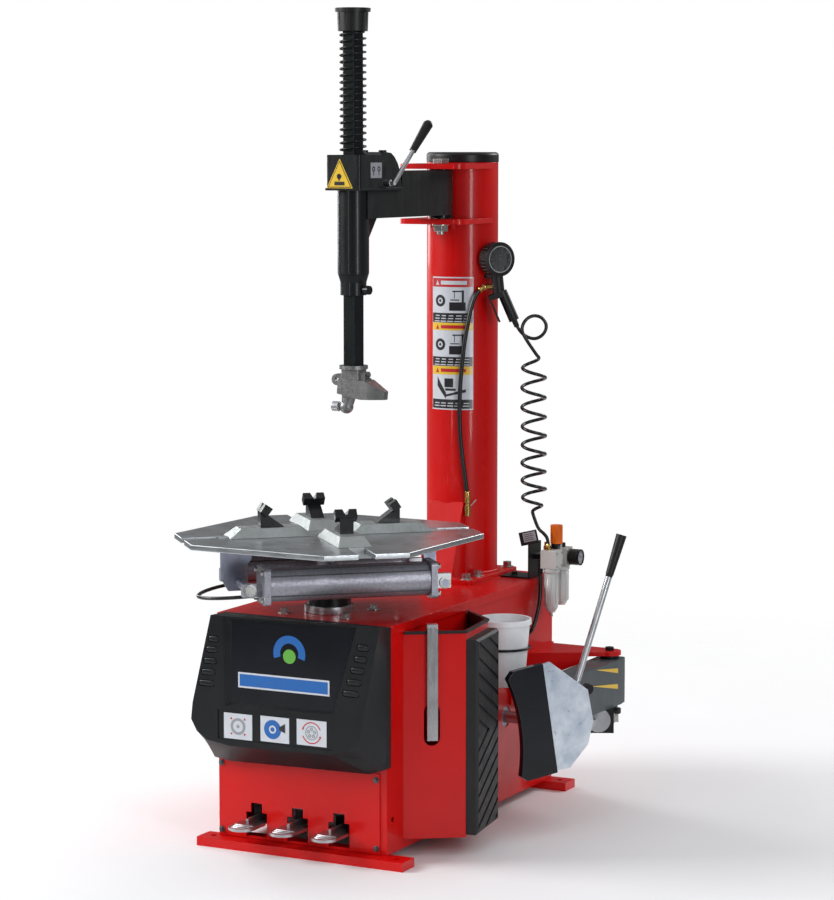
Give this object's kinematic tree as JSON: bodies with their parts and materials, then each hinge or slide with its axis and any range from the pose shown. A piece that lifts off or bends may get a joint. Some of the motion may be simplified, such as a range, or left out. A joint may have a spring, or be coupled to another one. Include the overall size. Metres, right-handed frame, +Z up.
{
  "type": "tire changer machine",
  "caption": "Floor-standing tire changer: cabinet with turntable and sliding clamps, swing arm with sprung mounting tool, side bead breaker, pedals, tool box and air fittings.",
  "frame": {"origin": "on the floor, at the centre of the four floor anchor holes", "axes": "+Z up, +X to the operator's right, +Y to the back of the machine; the operator stands at -Y facing +Y"},
  "size_m": [0.8364, 1.0329, 1.835],
  "materials": {
    "red_paint": "gloss",
    "black_paint": "satin",
    "grey_paint": "satin",
    "black_plastic": "textured satin",
    "matte_black": "matte",
    "steel": "brushed",
    "galvanised": "spangled zinc",
    "chrome": "polished",
    "cast": "rough",
    "aluminium": "satin",
    "rubber": "matte",
    "hose": "smooth",
    "brass": "satin",
    "white_plastic": "satin",
    "orange_plastic": "gloss",
    "clear": "clear"
  },
  "bodies": {
    "base": {"floor_feet": "red_paint", "cabinet_body": "red_paint", "top_plate": "red_paint", "front_cover": "black_plastic", "pedal_panel": "red_paint", "fixing_bolts": "galvanised", "pedal_frame": "steel", "gearbox_housing": "cast", "shaft_flange": "steel", "motor": "grey_paint", "drive_belt": "rubber", "column": "red_paint", "column_base": "red_paint", "column_cap": "matte_black", "hinge_plates": "red_paint", "hinge_pin": "galvanised", "tool_box": "red_paint", "tool_box_liner": "matte_black", "bumper_pad": "rubber", "bucket_ring": "black_paint", "breaker_bracket": "red_paint", "breaker_cylinder": "aluminium", "air_unit": "matte_black", "air_bowls": "clear", "inflator": "matte_black", "whip_hose": "hose", "whip_chuck": "brass", "curly_hose": "hose", "hose_leads": "hose", "supply_hose": "hose"},
    "table": {"table_shaft": "steel", "turntable_plate": "steel"},
    "left_slide": {"clamp_slide_left": "steel", "clamp_barrels": "aluminium", "clamp_hoses": "hose"},
    "right_slide": {"clamp_slide_right": "steel", "clamp_rods": "chrome"},
    "front_slide": {"clamp_slide_front": "steel"},
    "back_slide": {"clamp_slide_back": "steel"},
    "worm": {"worm_shaft": "steel"},
    "rotor": {"motor_pulley": "cast"},
    "arm": {"swing_arm": "black_paint", "lock_housing": "black_paint", "return_spring": "black_paint"},
    "lever": {"lock_lever": "chrome"},
    "tool": {"hex_shaft": "black_paint", "shaft_cap": "matte_black", "mount_head": "steel"},
    "roller": {"head_roller": "steel"},
    "left_pedal": {"pedal_1": "steel"},
    "middle_pedal": {"pedal_2": "steel"},
    "right_pedal": {"pedal_3": "steel"},
    "breaker": {"breaker_arm": "grey_paint"},
    "blade": {"breaker_blade": "galvanised", "blade_cover": "black_plastic"},
    "piston": {"breaker_rod": "chrome"},
    "knob": {"regulator_knob": "orange_plastic"},
    "trigger": {"inflator_trigger": "matte_black"},
    "bar": {"tyre_lever": "chrome"},
    "bucket": {"soap_bucket": "white_plastic"}
  },
  "joints": [
    {"name": "table_spin", "type": "hinge", "parent": "base", "child": "table", "pos_m": [-0.012, -0.2815, 0.6], "axis": [0, 0, 1], "continuous": true},
    {"name": "worm_spin", "type": "hinge", "parent": "base", "child": "worm", "pos_m": [0, -0.1775, 0.44], "axis": [1, 0, 0], "continuous": true},
    {"name": "motor_spin", "type": "hinge", "parent": "base", "child": "rotor", "pos_m": [0, -0.1775, 0.2], "axis": [1, 0, 0], "continuous": true},
    {"name": "right_clamp_slide", "type": "slide", "parent": "table", "child": "right_slide", "axis": [0.7314, 0.682, 0], "range_m": [0, 0.08]},
    {"name": "back_clamp_slide", "type": "slide", "parent": "table", "child": "back_slide", "axis": [-0.682, 0.7314, 0], "range_m": [0, 0.08]},
    {"name": "left_clamp_slide", "type": "slide", "parent": "table", "child": "left_slide", "axis": [-0.7314, -0.682, 0], "range_m": [0, 0.08]},
    {"name": "front_clamp_slide", "type": "slide", "parent": "table", "child": "front_slide", "axis": [0.682, -0.7314, 0], "range_m": [0, 0.08]},
    {"name": "arm_swing", "type": "hinge", "parent": "base", "child": "arm", "pos_m": [0.005, 0.2275, 1.418], "axis": [0, 0, 1], "range_deg": [0, 80]},
    {"name": "shaft_slide", "type": "slide", "parent": "arm", "child": "tool", "axis": [0, 0, 1], "range_m": [-0.18, 0], "stiffness_N_per_m": 400, "springref_m": 0.35, "deforming": ["return_spring"]},
    {"name": "lever_turn", "type": "hinge", "parent": "arm", "child": "lever", "pos_m": [-0.01565, -0.07268, 1.452], "axis": [0.9976, -0.0686, 0], "range_deg": [-20, 60]},
    {"name": "roller_spin", "type": "hinge", "parent": "tool", "child": "roller", "pos_m": [-0.021, -0.1545, 0.957], "axis": [1, 0, 0], "continuous": true},
    {"name": "left_pedal_press", "type": "hinge", "parent": "base", "child": "left_pedal", "pos_m": [-0.124, -0.32, 0.078], "axis": [1, 0, 0], "range_deg": [0, 12], "stiffness_Nm_per_rad": 10, "springref_deg": -8.59},
    {"name": "middle_pedal_press", "type": "hinge", "parent": "base", "child": "middle_pedal", "pos_m": [-0.021, -0.32, 0.078], "axis": [1, 0, 0], "range_deg": [0, 12], "stiffness_Nm_per_rad": 10, "springref_deg": -8.59},
    {"name": "right_pedal_press", "type": "hinge", "parent": "base", "child": "right_pedal", "pos_m": [0.082, -0.32, 0.078], "axis": [1, 0, 0], "range_deg": [-8, 12], "stiffness_Nm_per_rad": 25, "springref_deg": -2.29},
    {"name": "breaker_swing", "type": "hinge", "parent": "base", "child": "breaker", "pos_m": [0.39, 0.3415, 0.29], "axis": [0, 0, 1], "range_deg": [0, 30]},
    {"name": "blade_swivel", "type": "hinge", "parent": "breaker", "child": "blade", "pos_m": [0.38236, 0.00365, 0.29], "axis": [0, 0, 1], "range_deg": [-5, 12]},
    {"name": "piston_slide", "type": "slide", "parent": "base", "child": "piston", "axis": [1, 0, 0], "range_m": [0, 0.0795]},
    {"name": "knob_turn", "type": "hinge", "parent": "base", "child": "knob", "pos_m": [0.238, 0.374, 0.62], "axis": [0, 0, 1], "range_deg": [-150, 150]},
    {"name": "trigger_squeeze", "type": "hinge", "parent": "base", "child": "trigger", "pos_m": [0.118, 0.304, 1.188], "axis": [0.475, -0.88, 0], "range_deg": [-10, 0], "stiffness_Nm_per_rad": 0.5, "springref_deg": 28.65},
    {"name": "lever_lift", "type": "slide", "parent": "base", "child": "bar", "axis": [0, 0, 1], "range_m": [0, 0.045]},
    {"name": "bucket_lift", "type": "slide", "parent": "base", "child": "bucket", "axis": [0, 0, 1], "range_m": [0, 0.08]}
  ],
  "couplings": [
    {"joint": "worm_spin", "follows": "table_spin", "ratio": 40},
    {"joint": "motor_spin", "follows": "table_spin", "ratio": 88.571},
    {"joint": "right_clamp_slide", "follows": "left_clamp_slide", "ratio": 1},
    {"joint": "front_clamp_slide", "follows": "left_clamp_slide", "ratio": 1},
    {"joint": "back_clamp_slide", "follows": "left_clamp_slide", "ratio": 1},
    {"joint": "piston_slide", "follows": "breaker_swing", "m_per_rad": 0.15}
  ]
}
